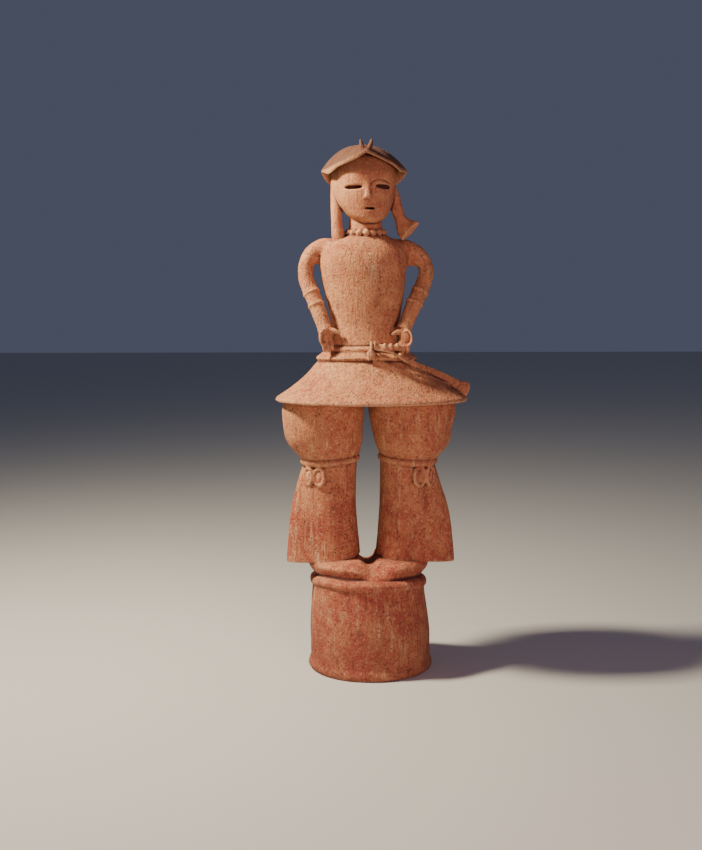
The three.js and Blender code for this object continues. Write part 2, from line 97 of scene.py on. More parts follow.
def skin(rings):
    """The closed mesh over rings of points: its points, its four-sided faces and those at its ends."""
    rings = np.asarray(rings, float)
    levels, sides = rings.shape[:2]
    index = np.arange(levels * sides).reshape(levels, sides)
    beside = np.roll(index, -1, axis=1)
    quads = np.stack([index[:-1], beside[:-1], beside[1:], index[1:]], axis=-1).reshape(-1, 4)
    middles = [rings[0].mean(axis=0), rings[-1].mean(axis=0)]
    first, final = levels * sides, levels * sides + 1
    low = np.stack([np.full(sides, first), beside[0], index[0]], axis=-1)
    high = np.stack([np.full(sides, final), index[-1], beside[-1]], axis=-1)
    return np.vstack([rings.reshape(-1, 3), middles]), quads, np.vstack([low, high])


def distances(mesh):
    """Signed distances to a closed mesh, and the part of the block that they fill."""
    points, quads, tris = mesh
    grid = vdb.FloatGrid.createLevelSetFromPolygons(
        ((points - BLOCK_LOW) / GRAIN).astype(np.float32),
        triangles=tris.astype(np.uint32), quads=quads.astype(np.uint32), halfWidth=BAND,
    )
    low, high = (np.array(corner) for corner in grid.evalActiveVoxelBoundingBox())
    low, high = np.maximum(low, 0), np.minimum(high + 1, clay.shape)
    near = np.empty(high - low, np.float32)
    grid.copyToArray(near, ijk=tuple(int(v) for v in low))
    return near * GRAIN, tuple(slice(a, b) for a, b in zip(low, high))


def press_on(mesh, blend=3.0):
    """Joins a shape to the clay, with the joint smoothed over about the width blend."""
    near, part = distances(mesh)
    here = clay[part]
    share = np.clip(0.5 + 0.5 * (near - here) / blend, 0, 1)
    clay[part] = near + (here - near) * share - blend * share * (1 - share)


def cut_away(mesh, blend=1.5):
    """Takes a shape out of the clay, with the edge of the cut rounded over about the width blend."""
    near, part = distances(mesh)
    here, near = clay[part], -near
    share = np.clip(0.5 - 0.5 * (near - here) / blend, 0, 1)
    clay[part] = near + (here - near) * share + blend * share * (1 - share)


BASE_OUTLINE = [
    [0, 146], [4, 149.5], [10, 151.5], [17, 150.5], [23, 147.5], [28, 146.5], [60, 146], [100, 145],
    [165, 140], [200, 137], [205, 138], [209, 141.5], [215, 142.5], [221, 141], [226, 135], [229, 128],
    [231, 112],
]
BASE_TOP_Z = BASE_OUTLINE[-1][0]
BASE_LEAN = -4
BAND_Z = 215
BAND_RISE, BAND_TILT, BAND_RIPPLE = 9, 3, 1.2  # how far it rises at the front and at the right, and wavers
FOLLOW_FROM, FOLLOW_TO = 150, 240  # the levels of the tube that follow it


def base_ring(z, radius):
    """A level ring of the tube; near the top it rises at the front and on the right, as the band does."""
    angle = angles(180)
    wave = smoothstep(z, FOLLOW_FROM, BAND_Z - 12) * (1 - smoothstep(z, BAND_Z + 11, FOLLOW_TO))
    uneven = 0.5 * np.sin(3 * angle + 1 + z / 60) + 0.4 * np.sin(5 * angle + z / 35)
    rise = wave * (-BAND_RISE * np.sin(angle) - BAND_TILT * np.cos(angle) + BAND_RIPPLE * np.sin(7 * angle))
    return oval(angle, BASE_LEAN * smoothstep(z, 30, BAND_Z), 0, z + rise, radius + uneven, radius + uneven)


# The levels are closer together at the ridge and at the band.
outline_z = np.concatenate([
    np.arange(0, 30, 1.5), np.arange(30, 200, 4), np.arange(200, BASE_TOP_Z, 1.5), [BASE_TOP_Z],
])
base_rows = along([[z, r] for z, r in BASE_OUTLINE], outline_z)
press_on(skin([base_ring(z, r) for z, r in base_rows]))

# ---------------------------------------------------------------- feet
# Two low mounds of clay on top of the tube, pressed together, with a valley between them at the front.
# They were made under the trousers, so only their fronts show.
def body(rows, sides=120, step=2.5):
    """A shape built up of level ovals. Rows: z, x, y, half-width, half-depth, squareness."""
    z = np.linspace(rows[0][0], rows[-1][0], max(2, int((rows[-1][0] - rows[0][0]) / step)))
    return skin([oval(angles(sides), x, y, level, w, d, n) for level, x, y, w, d, n in along(rows, z)])


def lump(x, y, z, w, d, h, turn=0.0):
    """A pressed ball of clay, tilted to one side by turn."""
    polar = np.linspace(0.02, math.pi - 0.02, 40)[:, None]
    around = angles(64)[None, :]
    across = w * np.sin(polar) * np.cos(around)
    deep = d * np.sin(polar) * np.sin(around)
    high = h * np.cos(polar) + 0 * around
    c, s = math.cos(turn), math.sin(turn)
    return skin(np.stack([across * c + high * s, deep, high * c - across * s], axis=-1) + [x, y, z])


# Rows: z, radius. Above the band the mounds draw in a little, and they swell again below their tops.
FEET = [
    [218, 126], [230, 121], [238, 120], [246, 121], [254, 123.5], [260, 124.5], [264, 122], [268, 114],
    [271, 100], [273, 84], [275, 66],
]
SIDE_REACH, BACK_GAP = 21, 28  # how much further they reach at the sides, and the depth of the gap behind
VALLEY_TOP_Z, VALLEY_TOP_R = 265, 80  # height and radius at which the valley's floor starts
VALLEY_LOW_Z, VALLEY_LOW_R = 232, 134  # and at which it ends
VALLEY_HALF, VALLEY_TURN = 20, math.radians(8)  # its half-width, and how far it turns on the way down


def feet_ring(z, radius):
    """A level of the mounds. The valley runs forward and to the figure's left as it comes down."""
    angle = np.linspace(-1.5 * math.pi, 0.5 * math.pi, 360, endpoint=False)
    down = (VALLEY_TOP_Z - z) / (VALLEY_TOP_Z - VALLEY_LOW_Z)
    floor_r = min(radius, VALLEY_TOP_R + down * (VALLEY_LOW_R - VALLEY_TOP_R))
    off = (angle + math.pi / 2 - VALLEY_TURN * down) * floor_r / VALLEY_HALF
    inside = np.where(off < 0, 1 - smoothstep(-off, 0.1, 1.4), 1 - smoothstep(off, 0.2, 2.6))
    behind = 1 - smoothstep(np.abs(np.abs(angle + math.pi / 2) - math.pi), 0.06, 0.2)
    wide = SIDE_REACH * np.abs(np.cos(angle)) ** 3
    radius = radius + wide * smoothstep(z, 220, 252) - BACK_GAP * behind * smoothstep(z, 244, 262)
    radius = radius + (floor_r - radius) * inside
    return oval(angle, BASE_LEAN, 0, z, radius, radius)


feet_rows = along(FEET, np.linspace(FEET[0][0], FEET[-1][0], 44))
press_on(skin([feet_ring(z, r) for z, r in feet_rows]), blend=3)


def roll(rows, steps=90, sides=40, times=None):
    """A roll of clay along a smooth line. Rows: t, x, y, z, half-width, half-thickness."""
    t = np.linspace(rows[0][0], rows[-1][0], steps) if times is None else times
    data = along(rows, t)
    line, w, d = data[:, 1:4], data[:, 4], data[:, 5]
    h = (rows[-1][0] - rows[0][0]) / 400
    ahead = along(rows, t + h)[:, 1:4] - along(rows, t - h)[:, 1:4]
    ahead /= np.linalg.norm(ahead, axis=1)[:, None]
    wide = np.cross((0, 1, 0), ahead)
    wide /= np.linalg.norm(wide, axis=1)[:, None]
    thick = np.cross(ahead, wide)
    a = angles(sides)[None, :]
    sideways = (w[:, None] * np.cos(a))[..., None] * wide[:, None]
    outwards = (d[:, None] * np.sin(a))[..., None] * thick[:, None]
    return skin(line[:, None] + (sideways + outwards))


# A trough runs back from the valley, between the feet.
TROUGH = [[0, -6, -80, 286, 20, 20], [1, -6, 160, 262, 23, 23]]
cut_away(roll(TROUGH), blend=8)

# ---------------------------------------------------------------- trouser legs
# Wide trousers, each a tube of clay gathered by a cord tied in a bow below the knee. The cloth under the
# knee runs out at the side to a thin edge, pinched from the wall.
KNEE_Z = 511
# Rows: z, middle between the legs, half of the gap, radius, reach of the right and left outer edges, depth.
LEG = [
    [262, -6, 19, 61, 198, 210, 60], [300, -6, 21, 61, 196, 208, 60], [390, -6, 28, 61, 187, 196, 61],
    [450, -6, 29.5, 62, 173, 178, 62], [486, -5, 29, 64, 163, 166, 64], [507, -4, 27.5, 66, 160, 160, 66],
    [518, -3.5, 26, 69.5, 165, 165, 69], [538, -3.5, 20, 82.5, 187, 185, 81],
    [560, -5, 14, 92, 199, 199, 90], [584, -7.5, 11, 95.5, 202, 204, 95], [630, -10, 5, 102, 203, 216, 98],
    [668, -10, 5, 97, 195, 204, 94],
]
SIDES = (-1, 1)  # the figure's right, then its left
EDGE_SHARPNESS = 7
EDGE_REACH, EDGE_Y = 60, -14  # an edge that reaches out by the first stands forward by the second
CORD_R, CORD_HALF = 5.5, 6.5  # how far the cord below the knee stands out, and half of its height
CORD_TILT, CORD_LIFT = 6.5, 3  # how far it dips on the outer side, and rises behind
HEM_RISE = 9


def leg_points(side, z, angle, grown=0.0):
    """Points of a trouser leg at one level. Angle 0 looks outwards; grown moves them off the surface."""
    _, middle, gap, r, right, left, depth = along(LEG, z)[0]
    c, s = np.cos(angle), np.sin(angle)
    spread = ((right if side < 0 else left) - gap - 2 * r) * ((1 + c) / 2) ** EDGE_SHARPNESS
    out = gap + r + (r + grown) * c + spread
    deep = (depth + grown) * s + EDGE_Y * spread / EDGE_REACH
    return np.stack([middle + side * out, deep, z + 0 * c], axis=-1)


def leg_ring(side, z):
    """A level of a leg: its hem rises inwards, and the cord dips towards the outside and the front."""
    angle = angles(160)
    cord = CORD_R * math.sqrt(max(0.0, 1 - ((z - KNEE_Z) / CORD_HALF) ** 2))
    points = leg_points(side, z, angle, cord)
    hem = 1 - smoothstep(z, 262, 330)
    dip = math.exp(-(((z - KNEE_Z) / 14) ** 2))
    points[:, 2] += hem * HEM_RISE * (1 - np.cos(angle))
    points[:, 2] += dip * (CORD_LIFT * np.sin(angle) - CORD_TILT * np.cos(angle))
    return points


# The levels are closer together at the cord. A plug of clay under each leg joins it to the feet.
leg_levels = np.concatenate([np.arange(262, 490, 4), np.arange(490, 524, 1.3), np.arange(524, 669, 4)])
ANKLE_OUT = 80
for side in SIDES:
    ankle_x = LEG[0][1] + side * ANKLE_OUT
    press_on(body([[232, ankle_x, 0, 50, 54, 2], [285, ankle_x, 0, 48, 50, 2]]), blend=4)
    press_on(skin([leg_ring(side, z) for z in leg_levels]), blend=4)


def turned(points, angle):
    """Points turned about the upright axis."""
    c, s = math.cos(angle), math.sin(angle)
    x, y = points[..., 0], points[..., 1]
    return np.stack([x * c - y * s, x * s + y * c, points[..., 2]], axis=-1)


def tube(line, radius, closed=False, sides=24):
    """A round roll of clay along a line of points; closed joins its ends."""
    line = np.asarray(line, float)
    radius = np.broadcast_to(radius, len(line))
    if closed:
        line = np.vstack([line, line[:2]])
        radius = np.concatenate([radius, radius[:2]])
    ahead = np.gradient(line, axis=0)
    ahead /= np.linalg.norm(ahead, axis=1)[:, None]
    side = np.cross(np.where(np.abs(ahead[:, 1:2]) > 0.9, [0, 0, 1], [0, 1, 0]), ahead)
    side /= np.linalg.norm(side, axis=1)[:, None]
    up = np.cross(ahead, side)
    a = angles(sides)[None, :, None]
    around = side[:, None] * np.cos(a) + up[:, None] * np.sin(a)
    return skin(line[:, None] + radius[:, None, None] * around)


BOW_ANGLE, BOW_Z = math.radians(-53), KNEE_Z - 35  # where a bow lies on the leg
LOOP_ANGLE = math.radians(12.5)  # and how far its loops are from its middle
LOOP_W, LOOP_H, LOOP_R = 12.5, 20, 4.2
PAD_W, PAD_D, PAD_H = 7, 4.5, 13


def flat_loop(side, angle, size):
    """One loop of a bow on the leg: an oval ring of cord with the clay inside it pressed up as a pad."""
    at = leg_points(side, BOW_Z, np.array([angle]), 0.8)[0]
    turn = side * (angle + math.pi / 2)
    t = angles(72)
    ring = size * np.stack([LOOP_W * np.cos(t), 0 * t, LOOP_H * np.sin(t)], axis=-1)
    pad = lump(0, 0, -1, size * PAD_W, PAD_D, size * PAD_H)
    return tube(at + turned(ring, turn), LOOP_R * size, closed=True), (turned(pad[0], turn) + at, *pad[1:])


for side, size in zip(SIDES, (1.0, 1.1)):
    for which in (-1, 1):
        ring, pad = flat_loop(side, BOW_ANGLE + which * LOOP_ANGLE, size)
        press_on(pad, blend=2)
        press_on(ring, blend=1.5)

# ---------------------------------------------------------------- jacket
# A jacket with a belt, whose skirt flares to a thick rim over the trousers, as one bell of clay up to the
# neck. The belt is a strip pressed round the waist with raised edges.
HEM_Z = 653
NECK_X, NECK_Z, NECK_R = -13, 1054, 42
# Rows: z, x, y, half-width, half-depth, squareness.
JACKET = [
    [HEM_Z, 2.5, 0, 227, 161, 2.15], [HEM_Z + 3, 2.5, 0, 230.5, 163.5, 2.15],
    [HEM_Z + 6, 2.5, 0, 231, 164, 2.15], [HEM_Z + 9, 2.5, 0, 229.5, 163, 2.15],
    [HEM_Z + 12, 2.5, 0, 226, 160, 2.15], [678, 0.5, 0, 204, 146, 2.1], [695, -1, 0, 179, 130, 2.1],
    [715, -3, 0, 153, 113, 2], [737, -6, 0, 131, 99, 2], [753, -9, 0, 117, 91, 2],
    [755.5, -9, 0, 120, 94, 2], [758, -9, 0, 122, 96, 2], [761, -9.5, 0, 120, 95, 2],
    [764, -10, 0, 116, 92, 2], [770, -10.5, 0, 107.5, 87.5, 2], [775, -11, 0, 101, 84, 2],
    [778, -11, 0, 102, 85.5, 2], [781, -11, 0, 102, 85.5, 2], [784, -11.5, 0, 98, 82, 2],
    [787, -12, 0, 90, 75, 2.1], [832, -13, 0, 81, 69, 2.2], [868, -13, 0, 86.5, 70, 2.2],
    [912, -15, 0, 95, 71, 2.2], [952, -17.5, 0, 100, 71, 2.25], [985, -17.5, 0, 104, 69.5, 2.3],
    [1014, -17, 0, 101, 62, 2.3], [1031, -17, 0, 86, 54, 2.2], [1041, -15, 0, 64, 48, 2],
    [1050, NECK_X, 0, NECK_R + 2, NECK_R, 2], [1090, -12, 0, 38, 40, 2],
]


def jacket_ring(row):
    """A level of the jacket; the belt dips a little at the sides."""
    z, x, y, w, d, n = row
    angle = angles(180)
    belt = smoothstep(z, 737, 755) * (1 - smoothstep(z, 786, 832))
    return oval(angle, x, y, z + belt * (3 * np.sin(angle) ** 2 - 2), w, d, n)


# The levels are closer together at the hem and at the belt.
jacket_levels = np.concatenate([
    np.arange(HEM_Z, 668, 1.5), np.arange(668, 750, 3), np.arange(750, 790, 1.25),
    np.arange(790, 1090, 4), [1090],
])
HOLLOW_RISE, RIM_W, RIM_D = 7, 18, 16  # the skirt is hollowed this far from below, inside a rim this wide
z, x, y, w, d, n = JACKET[0]
skirt_hollow = oval(angles(180), x, y, z + HOLLOW_RISE, w - RIM_W, d - RIM_D, n)
press_on(skin([skirt_hollow] + [jacket_ring(row) for row in along(JACKET, jacket_levels)]), blend=3)

# A line pressed round the hem splits it into two ridges, another parts the belt from the torso, and a low
# fold runs down the skirt under the sword.
LINE_R = 2.6  # of the stick that pressed them
HEM_LINE, BELT_LINE = [2.5, 0, 662, 232, 165, 2.15], [-12, 0, 789, 91, 76, 2.1]
for x, y, z, w, d, n in (HEM_LINE, BELT_LINE):
    cut_away(tube(oval(angles(240), x, y, z, w, d, n), LINE_R, closed=True), blend=1)
FOLD = [[0, 2, -91, 750], [1, 29, -89, 745], [2, 71, -84, 728], [3, 128, -54, 714], [4, 192, 12, 688]]
FOLD_R = 4.5
press_on(tube(along(FOLD, np.linspace(0, 4, 60))[:, 1:], FOLD_R), blend=5)


def plate(outline, thickness, place):
    """A flat piece cut from a slab of clay, standing upright with its face to the front."""
    x, z = np.array(outline, float).T
    rings = np.array([np.stack([x, 0 * x + y, z], axis=-1) for y in (0.0, -thickness)])
    return skin(rings + place)


# The belt is closed at the front by a small tab with a forked end.
BELT_TAB = [[-8, -15], [1, -10], [8, -16], [10, 5], [0, 15], [-10, 6]]
press_on(plate(BELT_TAB, 13, [-3.5, -87, 768]), blend=1)

# ---------------------------------------------------------------- arms and hands
# Each arm is a bent roll of clay. The sleeve ends in a flared edge, a thin rim goes round the forearm
# guard, and a cuff closes the wrist. The hands rest on the hips with the thumbs turned in.
RIGHT_ARM = [
    [0, -80, 4, 1010, 27, 32], [1, -112, 4, 1016, 25, 27], [2, -139, 3, 1004, 20, 22],
    [3, -153, 1, 980, 18, 19.5], [4, -155.5, -3, 956, 18, 19], [5, -151, -8, 934, 18.5, 19],
    [6, -140, -19, 908, 18.5, 18.5], [7, -130, -28, 882, 18, 18], [8, -119, -38, 852, 17.5, 17],
    [9, -107, -49, 820, 16, 15],
]
LEFT_ARM = [
    [0, 44, 4, 1009, 27, 32], [1, 78, 4, 1013, 25, 27], [2, 108, 3, 1004, 21, 22],
    [3, 128, 1, 982, 18, 19.5], [4, 133, -3, 960, 17.5, 19], [5, 127, -8, 937, 18, 19],
    [6, 115, -19, 911, 18.5, 18.5], [7, 102, -28, 886, 18.5, 18], [8, 88, -39, 854, 17.5, 17],
    [9, 75, -50, 824, 16, 15],
]
# How far the arm's surface stands out at each t: sleeve edge, guard rim and cuff.
TRIM = [
    [0, 0], [5.5, 0], [5.8, 1.5], [5.95, 4], [6.02, 0.5], [6.8, 0.2], [6.9, 3], [7, 3.5], [7.1, 0.5],
    [8.6, 0.3], [8.75, 2.5], [9, 2.5],
]


def arm(rows):
    """An arm with its trim. Its rings are closer together at the sleeve edge and the guard's rim."""
    t = np.concatenate([np.linspace(0, 5.5, 60), np.linspace(5.52, 7.2, 80), np.linspace(7.25, 9, 60)])
    data = along(rows, t)
    data[:, 4:] += np.interp(t, *np.array(TRIM).T)[:, None]
    return roll(data.tolist(), times=t)


PLATE_W, PLATE_H = 11.4, 18.24  # half sizes of the oval plate on the back of a hand
FINGERS = ((6, 36), (-4, 36), (-13, 31))  # place across the hand, and length


def hand(side, x, y, z):
    """Palm, rimmed oval plate on its back, three fingertips below and a thumb turned in."""
    def at(dx, dy, dz):
        return [x + side * dx, y + dy, z + dz]

    press_on(lump(*at(2, -2, 0), 16, 13, 25), blend=4)
    t = angles(72)
    ring = np.stack([PLATE_W * np.cos(t), 0 * t, PLATE_H * np.sin(t)], axis=-1)
    press_on(tube(turned(ring, -side * 0.4) + at(4, -13, 0), 3.2, closed=True), blend=2)
    for dx, length in FINGERS:
        finger = [
            [0, *at(dx + 3, -2, -8), 6, 6], [1, *at(dx, -11, -22), 5, 5],
            [2, *at(dx - 1.5, -11, -length), 3.4, 3.4],
        ]
        press_on(roll(finger, 30, 20), blend=1.5)
    thumb = [[0, *at(-4, -2, 14), 8, 7], [1, *at(-18, -6, 14), 7, 6], [2, *at(-33, -8, 8), 3.5, 3.5]]
    press_on(roll(thumb, 30, 20), blend=2)


press_on(arm(RIGHT_ARM), blend=7)
press_on(arm(LEFT_ARM), blend=7)
# A lump of clay fills each armpit.
press_on(lump(-126, 2, 995, 15, 14, 14), blend=9)
press_on(lump(97, 2, 991, 19, 14, 16), blend=9)
hand(-1, -107, -55, 809)
hand(1, 78, -56, 806)

# ---------------------------------------------------------------- necklace
# Sixteen round beads, rolled one by one and pressed onto the neck side by side.
BEADS, BEAD_R = 16, 8
for bead in range(BEADS):
    angle = bead / BEADS * 2 * math.pi
    x, y = NECK_X + (NECK_R + 1) * math.cos(angle), (NECK_R + 1) * math.sin(angle)
    press_on(lump(x, y, NECK_Z + 2 * math.sin(angle), BEAD_R, BEAD_R, BEAD_R), blend=1.5)

# ---------------------------------------------------------------- head
# An egg of clay, hollow in the real figure but solid here, flattened at the front, with a wedge for the
# nose and leaf-shaped slits cut for the eyes and the mouth. The face is a plain doll-like one, set out in
# quarters of its own height.
FACE_X, CHIN_Z, CAP_Z, FACE_Y = -18, 1077, 1183, -82
HEAD_TURN = 0.1  # the head looks a little to the figure's left
HEAD = [
    [1075, 9, -28, 16, 38, 2], [1079, 9, -26, 27, 48, 2.1], [1086, 8, -21, 39, 57, 2.2],
    [1099, 6, -14, 51, 66, 2.2], [1118, 3, -7, 63, 74, 2.2], [1140, 1, -2, 71, 79, 2.2],
    [1165, 0, 1, 75, 81, 2.2], [1185, 0, 2, 75, 81, 2.2], [1206, 2, 2, 73, 79, 2.1],
    [1226, 2, 3, 62, 70, 2], [1246, -4, 5, 26, 32, 2],
]


def on_neck(mesh):
    """Sets what was made about the head's own upright axis on the neck."""
    points, quads, tris = mesh
    return turned(points, HEAD_TURN) + [FACE_X, 0, 0], quads, tris


def face_level(quarters):
    return CHIN_Z + (CAP_Z - CHIN_Z) * quarters / 4


SLIT_DEPTH, BLADE = 32, 60  # how far the knife went in, and the length of its blade


def slit(x, z, half_length, half_height, tilt):
    """The leaf-shaped hole of a knife cut."""
    t = np.linspace(-1, 1, 25)
    upper = np.stack([half_length * t, half_height * (1 - t**4) ** 0.7], axis=-1)
    leaf = np.vstack([upper, (upper * [1, -1])[::-1][1:-1]])
    c, s = math.cos(tilt), math.sin(tilt)
    leaf = np.stack([leaf[:, 0] * c + leaf[:, 1] * s, leaf[:, 1] * c - leaf[:, 0] * s], axis=-1)
    return on_neck(plate(leaf, BLADE, [x, FACE_Y + SLIT_DEPTH, z]))


press_on(on_neck(body(HEAD)), blend=3)
# The four corners of the nose at its root, and at its tip.
NOSE = [
    [[-3.5, 8, 0], [3.5, 8, 0], [3, -2, 0], [-3, -2, 0]],
    [[-10, 8, -37], [8, 8, -37], [5.5, -13, -34], [-8, -13, -34]],
]
press_on(on_neck(skin(np.array(NOSE) + [-1, FACE_Y + 4, face_level(3.3)])), blend=4)
# Only the left eye has a brow, a thin arched line that starts at the nose.
BROW = [
    [0, 5, -80, face_level(3.1)], [1, 13, -79, face_level(3.45)], [2, 34, -73, face_level(3.58)],
    [3, 55, -57, face_level(3.3)],
]
cut_away(on_neck(tube(along(BROW, np.linspace(0, 3, 50))[:, 1:], LINE_R)), blend=1.5)
EYE_X = 34
# The right eye, the left eye and the mouth: x, z, half-length, half-height, tilt.
for cut in (
    (2 - EYE_X, face_level(3) - 2, 20, 4.8, -0.03), (2 + EYE_X, face_level(3), 19, 4.8, 0.06),
    (4, face_level(1.1), 13, 2.4, 0.0),
):
    cut_away(slit(*cut))

# ---------------------------------------------------------------- hair
# The hair is parted and bound in a roll at each side. The right one hangs straight; the left one swings
# out and ends in a bell.
HAIR_RIGHT = [
    [0, -82, 6, 1172, 12, 16], [1, -83, 0, 1140, 12.5, 14], [2, -82, -8, 1105, 13, 13],
    [3, -81, -15, 1070, 13.5, 13], [4, -79, -21, 1047, 15.5, 14], [5, -77, -23, 1034, 14.5, 12],
]
HAIR_LEFT = [
    [0, 48, 6, 1168, 10, 14], [1, 56, 0, 1138, 12, 13], [2, 62, -7, 1108, 14, 13],
    [3, 71, -12, 1084, 14.5, 12], [4, 82, -18, 1066, 25, 11.5], [5, 93, -27, 1055, 29.5, 11],
]
press_on(roll(HAIR_RIGHT), blend=3)
press_on(roll(HAIR_LEFT), blend=3)
# A band binds the left roll.
press_on(lump(58, 0, 1133, 14.5, 15, 5, -0.2), blend=2)

# ---------------------------------------------------------------- hat
# A slab of clay, folded like a roof over the cap: it peaks at the front, points out at the sides and
# drops behind. A small forked knot stands on the peak.
HAT_X, HAT_Y, HAT_TOP_X, HAT_TOP_Z, HAT_SIDE_Z = -16, 4, -22, 1258, 1198
HAT_REACH, HAT_DEPTH, HAT_BACK = 102, 99, 92  # to the sides, the front and the back
HAT_SQUARENESS = 1.75  # below 2, so that the brim comes to a point at each side
ROOF_BEND = 2.4  # how flat the roof is at the crown before it falls to the edge
PEAK_RISE, PEAK_BEND = 40, 1.15  # of the front edge above the side points
SAG, SAG_AT, SAG_WIDTH = 8, 0.17, 0.13  # of the front edge near the side points
BACK_DROP, BACK_BEND = 55, 1.27
POINT_Y = 6  # how far forward the side points are drawn
COMB_DEPTH, COMB_LINES, COMBED_AT = 0.9, 46, 3.9  # lines scraped on the roof, and the angle they are at
BRIM_THICK, FRONT_THICKER = 9, 5


def brim_sheet(t, under, sides=240):
    """One ring of the brim, a share t of the way from the crown to the edge, on top or underneath."""
    angle = angles(sides)
    c, s = np.cos(angle), np.sin(angle)
    edge = oval(angle, HAT_X, 0, 0, HAT_REACH, np.where(s < 0, HAT_DEPTH, HAT_BACK), HAT_SQUARENESS)
    inwards = np.clip(1 - np.abs(edge[:, 0] - HAT_X) / HAT_REACH, 0, 1)
    front = PEAK_RISE * inwards**PEAK_BEND - SAG * np.exp(-(((inwards - SAG_AT) / SAG_WIDTH) ** 2))
    edge_z = HAT_SIDE_Z + np.where(s < 0, front, -BACK_DROP * np.clip(s, 0, 1) ** BACK_BEND)
    edge_y = edge[:, 1] - POINT_Y * np.abs(c) ** 3
    combed = COMB_DEPTH * np.sin(COMB_LINES * angle) * (1 - smoothstep(np.abs(angle - COMBED_AT), 0.5, 0.9))
    combed = combed * smoothstep(t, 0.3, 0.7)
    thick = BRIM_THICK + FRONT_THICKER * smoothstep(-s, 0.1, 0.5) * smoothstep(-c, -0.1, 0.3)
    z = HAT_TOP_Z - (HAT_TOP_Z - edge_z) * t**ROOF_BEND + np.where(under, -thick, combed)
    return np.stack([HAT_TOP_X + (edge[:, 0] - HAT_TOP_X) * t, HAT_Y + (edge_y - HAT_Y) * t, z], axis=-1)


over = [brim_sheet(t, False) for t in np.linspace(0.05, 1, 60)]
beneath = [brim_sheet(t, True) for t in np.linspace(0.99, 0.4, 25)]
press_on(skin(over + beneath), blend=3)
for side in SIDES:
    prong = [
        [0, HAT_X, -88, 1232, 9, 7], [1, HAT_X + side * 9, -86, 1244, 6.5, 7],
        [2, HAT_X + side * 13.5, -82, 1262.5, 2.8, 4],
    ]
    press_on(roll(prong, 30, 24), blend=2)

# ---------------------------------------------------------------- sword
# A sword hangs from the belt at the left hip: its scabbard with an end piece, its hilt with two bars at
# the end, the strap it hangs by and three beads over the strap.
SCABBARD = [
    [0, 60, -68, 764, 10, 7], [1, 104, -46, 735, 14.5, 9], [2, 166, 4, 707, 17, 10],
    [3, 210, 38, 684, 18, 11], [4, 224, 48, 677, 19, 12],
]
CHAPE = [[0, 222, 47, 678, 22, 13], [1, 238, 58, 671, 22, 14]]
HILT = [[0, 2, -92, 787, 7, 7], [1, 40, -92, 786, 6.5, 7], [2, 74, -76, 782, 8, 8]]
STRAP = [
    [0, 8, -97, 781, 3.5, 3], [1, 38, -99, 776, 3.5, 3], [2, 60, -91, 765, 3.5, 3],
    [3, 82, -80, 751, 3.5, 3], [4, 98, -64, 757, 3.5, 3],
]
press_on(roll(SCABBARD), blend=3)
press_on(roll(CHAPE, 20), blend=1.5)
press_on(roll(HILT, 60, 32), blend=2)
BAR = [[-2.6, -10], [2.6, -10], [2.6, 10], [-2.6, 10]]
for side in SIDES:
    press_on(plate(BAR, 12, [1 + side * 4.5, -89, 790]), blend=1.5)
press_on(roll(STRAP, 60, 24), blend=1)
for x, y in ((28, -98), (42, -97), (57, -91)):
    press_on(lump(x, y, 788, 5.5, 6, 9), blend=1)

# ---------------------------------------------------------------- the fired clay
# The real figure is hollow and open below; here only the tube is hollowed out, from below. It was scraped
# and wiped by hand while soft, which left broad hollows, rounded edges and faint upright strokes, and then
# fired as one piece.
BASE_INSIDE = [[-2, 132], [100, 131], [199, 123], [226, 107]]  # rows: z, radius of the hollow
inside_rows = along(BASE_INSIDE, np.linspace(BASE_INSIDE[0][0], BASE_INSIDE[-1][0], 60))
cut_away(skin([
    oval(angles(120), BASE_LEAN * smoothstep(z, 30, BAND_Z), 0, z, r, r) for z, r in inside_rows
]), blend=4)


def soften(field, times):
    """Averages each distance with its neighbours, which rounds edges as a wet hand does."""
    for axis in [0, 1, 2] * times:
        line = np.moveaxis(field, axis, 0)
        line[1:-1] = 0.25 * line[:-2] + 0.5 * line[1:-1] + 0.25 * line[2:]


def value_at(field, places):
    """The field's value between its grid points, for places in grid steps."""
    low = np.clip(np.floor(places).astype(int), 0, np.array(field.shape) - 2)
    u = places - low
    total = np.zeros(len(places))
    for corner in np.ndindex(2, 2, 2):
        share = np.prod(np.where(corner, u, 1 - u), axis=1)
        total += share * field[tuple((low + corner).T)]
    return total


soften(clay, 1)
grid = vdb.FloatGrid()
grid.background = float(BAND)
grid.copyFromArray(clay / GRAIN)
places, faces = grid.convertToQuads(0.0)
points = (places * GRAIN + BLOCK_LOW + [AXIS_X, 0, 0]) / 1000
mesh = bpy.data.meshes.new("haniwa")
mesh.from_pydata(points.tolist(), [], faces[:, ::-1].tolist())
haniwa = bpy.data.objects.new("haniwa", mesh)
bpy.context.collection.objects.link(haniwa)

MOST_TRIANGLES = 190000
fewer = haniwa.modifiers.new("fewer faces", "DECIMATE")
fewer.ratio = min(1.0, MOST_TRIANGLES / (2 * len(faces)))
haniwa.data = bpy.data.meshes.new_from_object(haniwa.evaluated_get(bpy.context.evaluated_depsgraph_get()))
haniwa.modifiers.clear()
mesh = haniwa.data
mesh.polygons.foreach_set("use_smooth", [True] * len(mesh.polygons))

# How proud or hollow the clay is at each point, for the wear on edges, and for the soil and painted shade
# in grooves and hollows.
soften(clay, 6)
points = np.empty(3 * len(mesh.vertices), np.float32)
mesh.vertices.foreach_get("co", points)
points = points.reshape(-1, 3).astype(float)
proud = value_at(clay, (points * 1000 - [AXIS_X, 0, 0] - BLOCK_LOW) / GRAIN)
mesh.attributes.new("proud", "FLOAT", "POINT").data.foreach_set("value", proud.astype(np.float32))
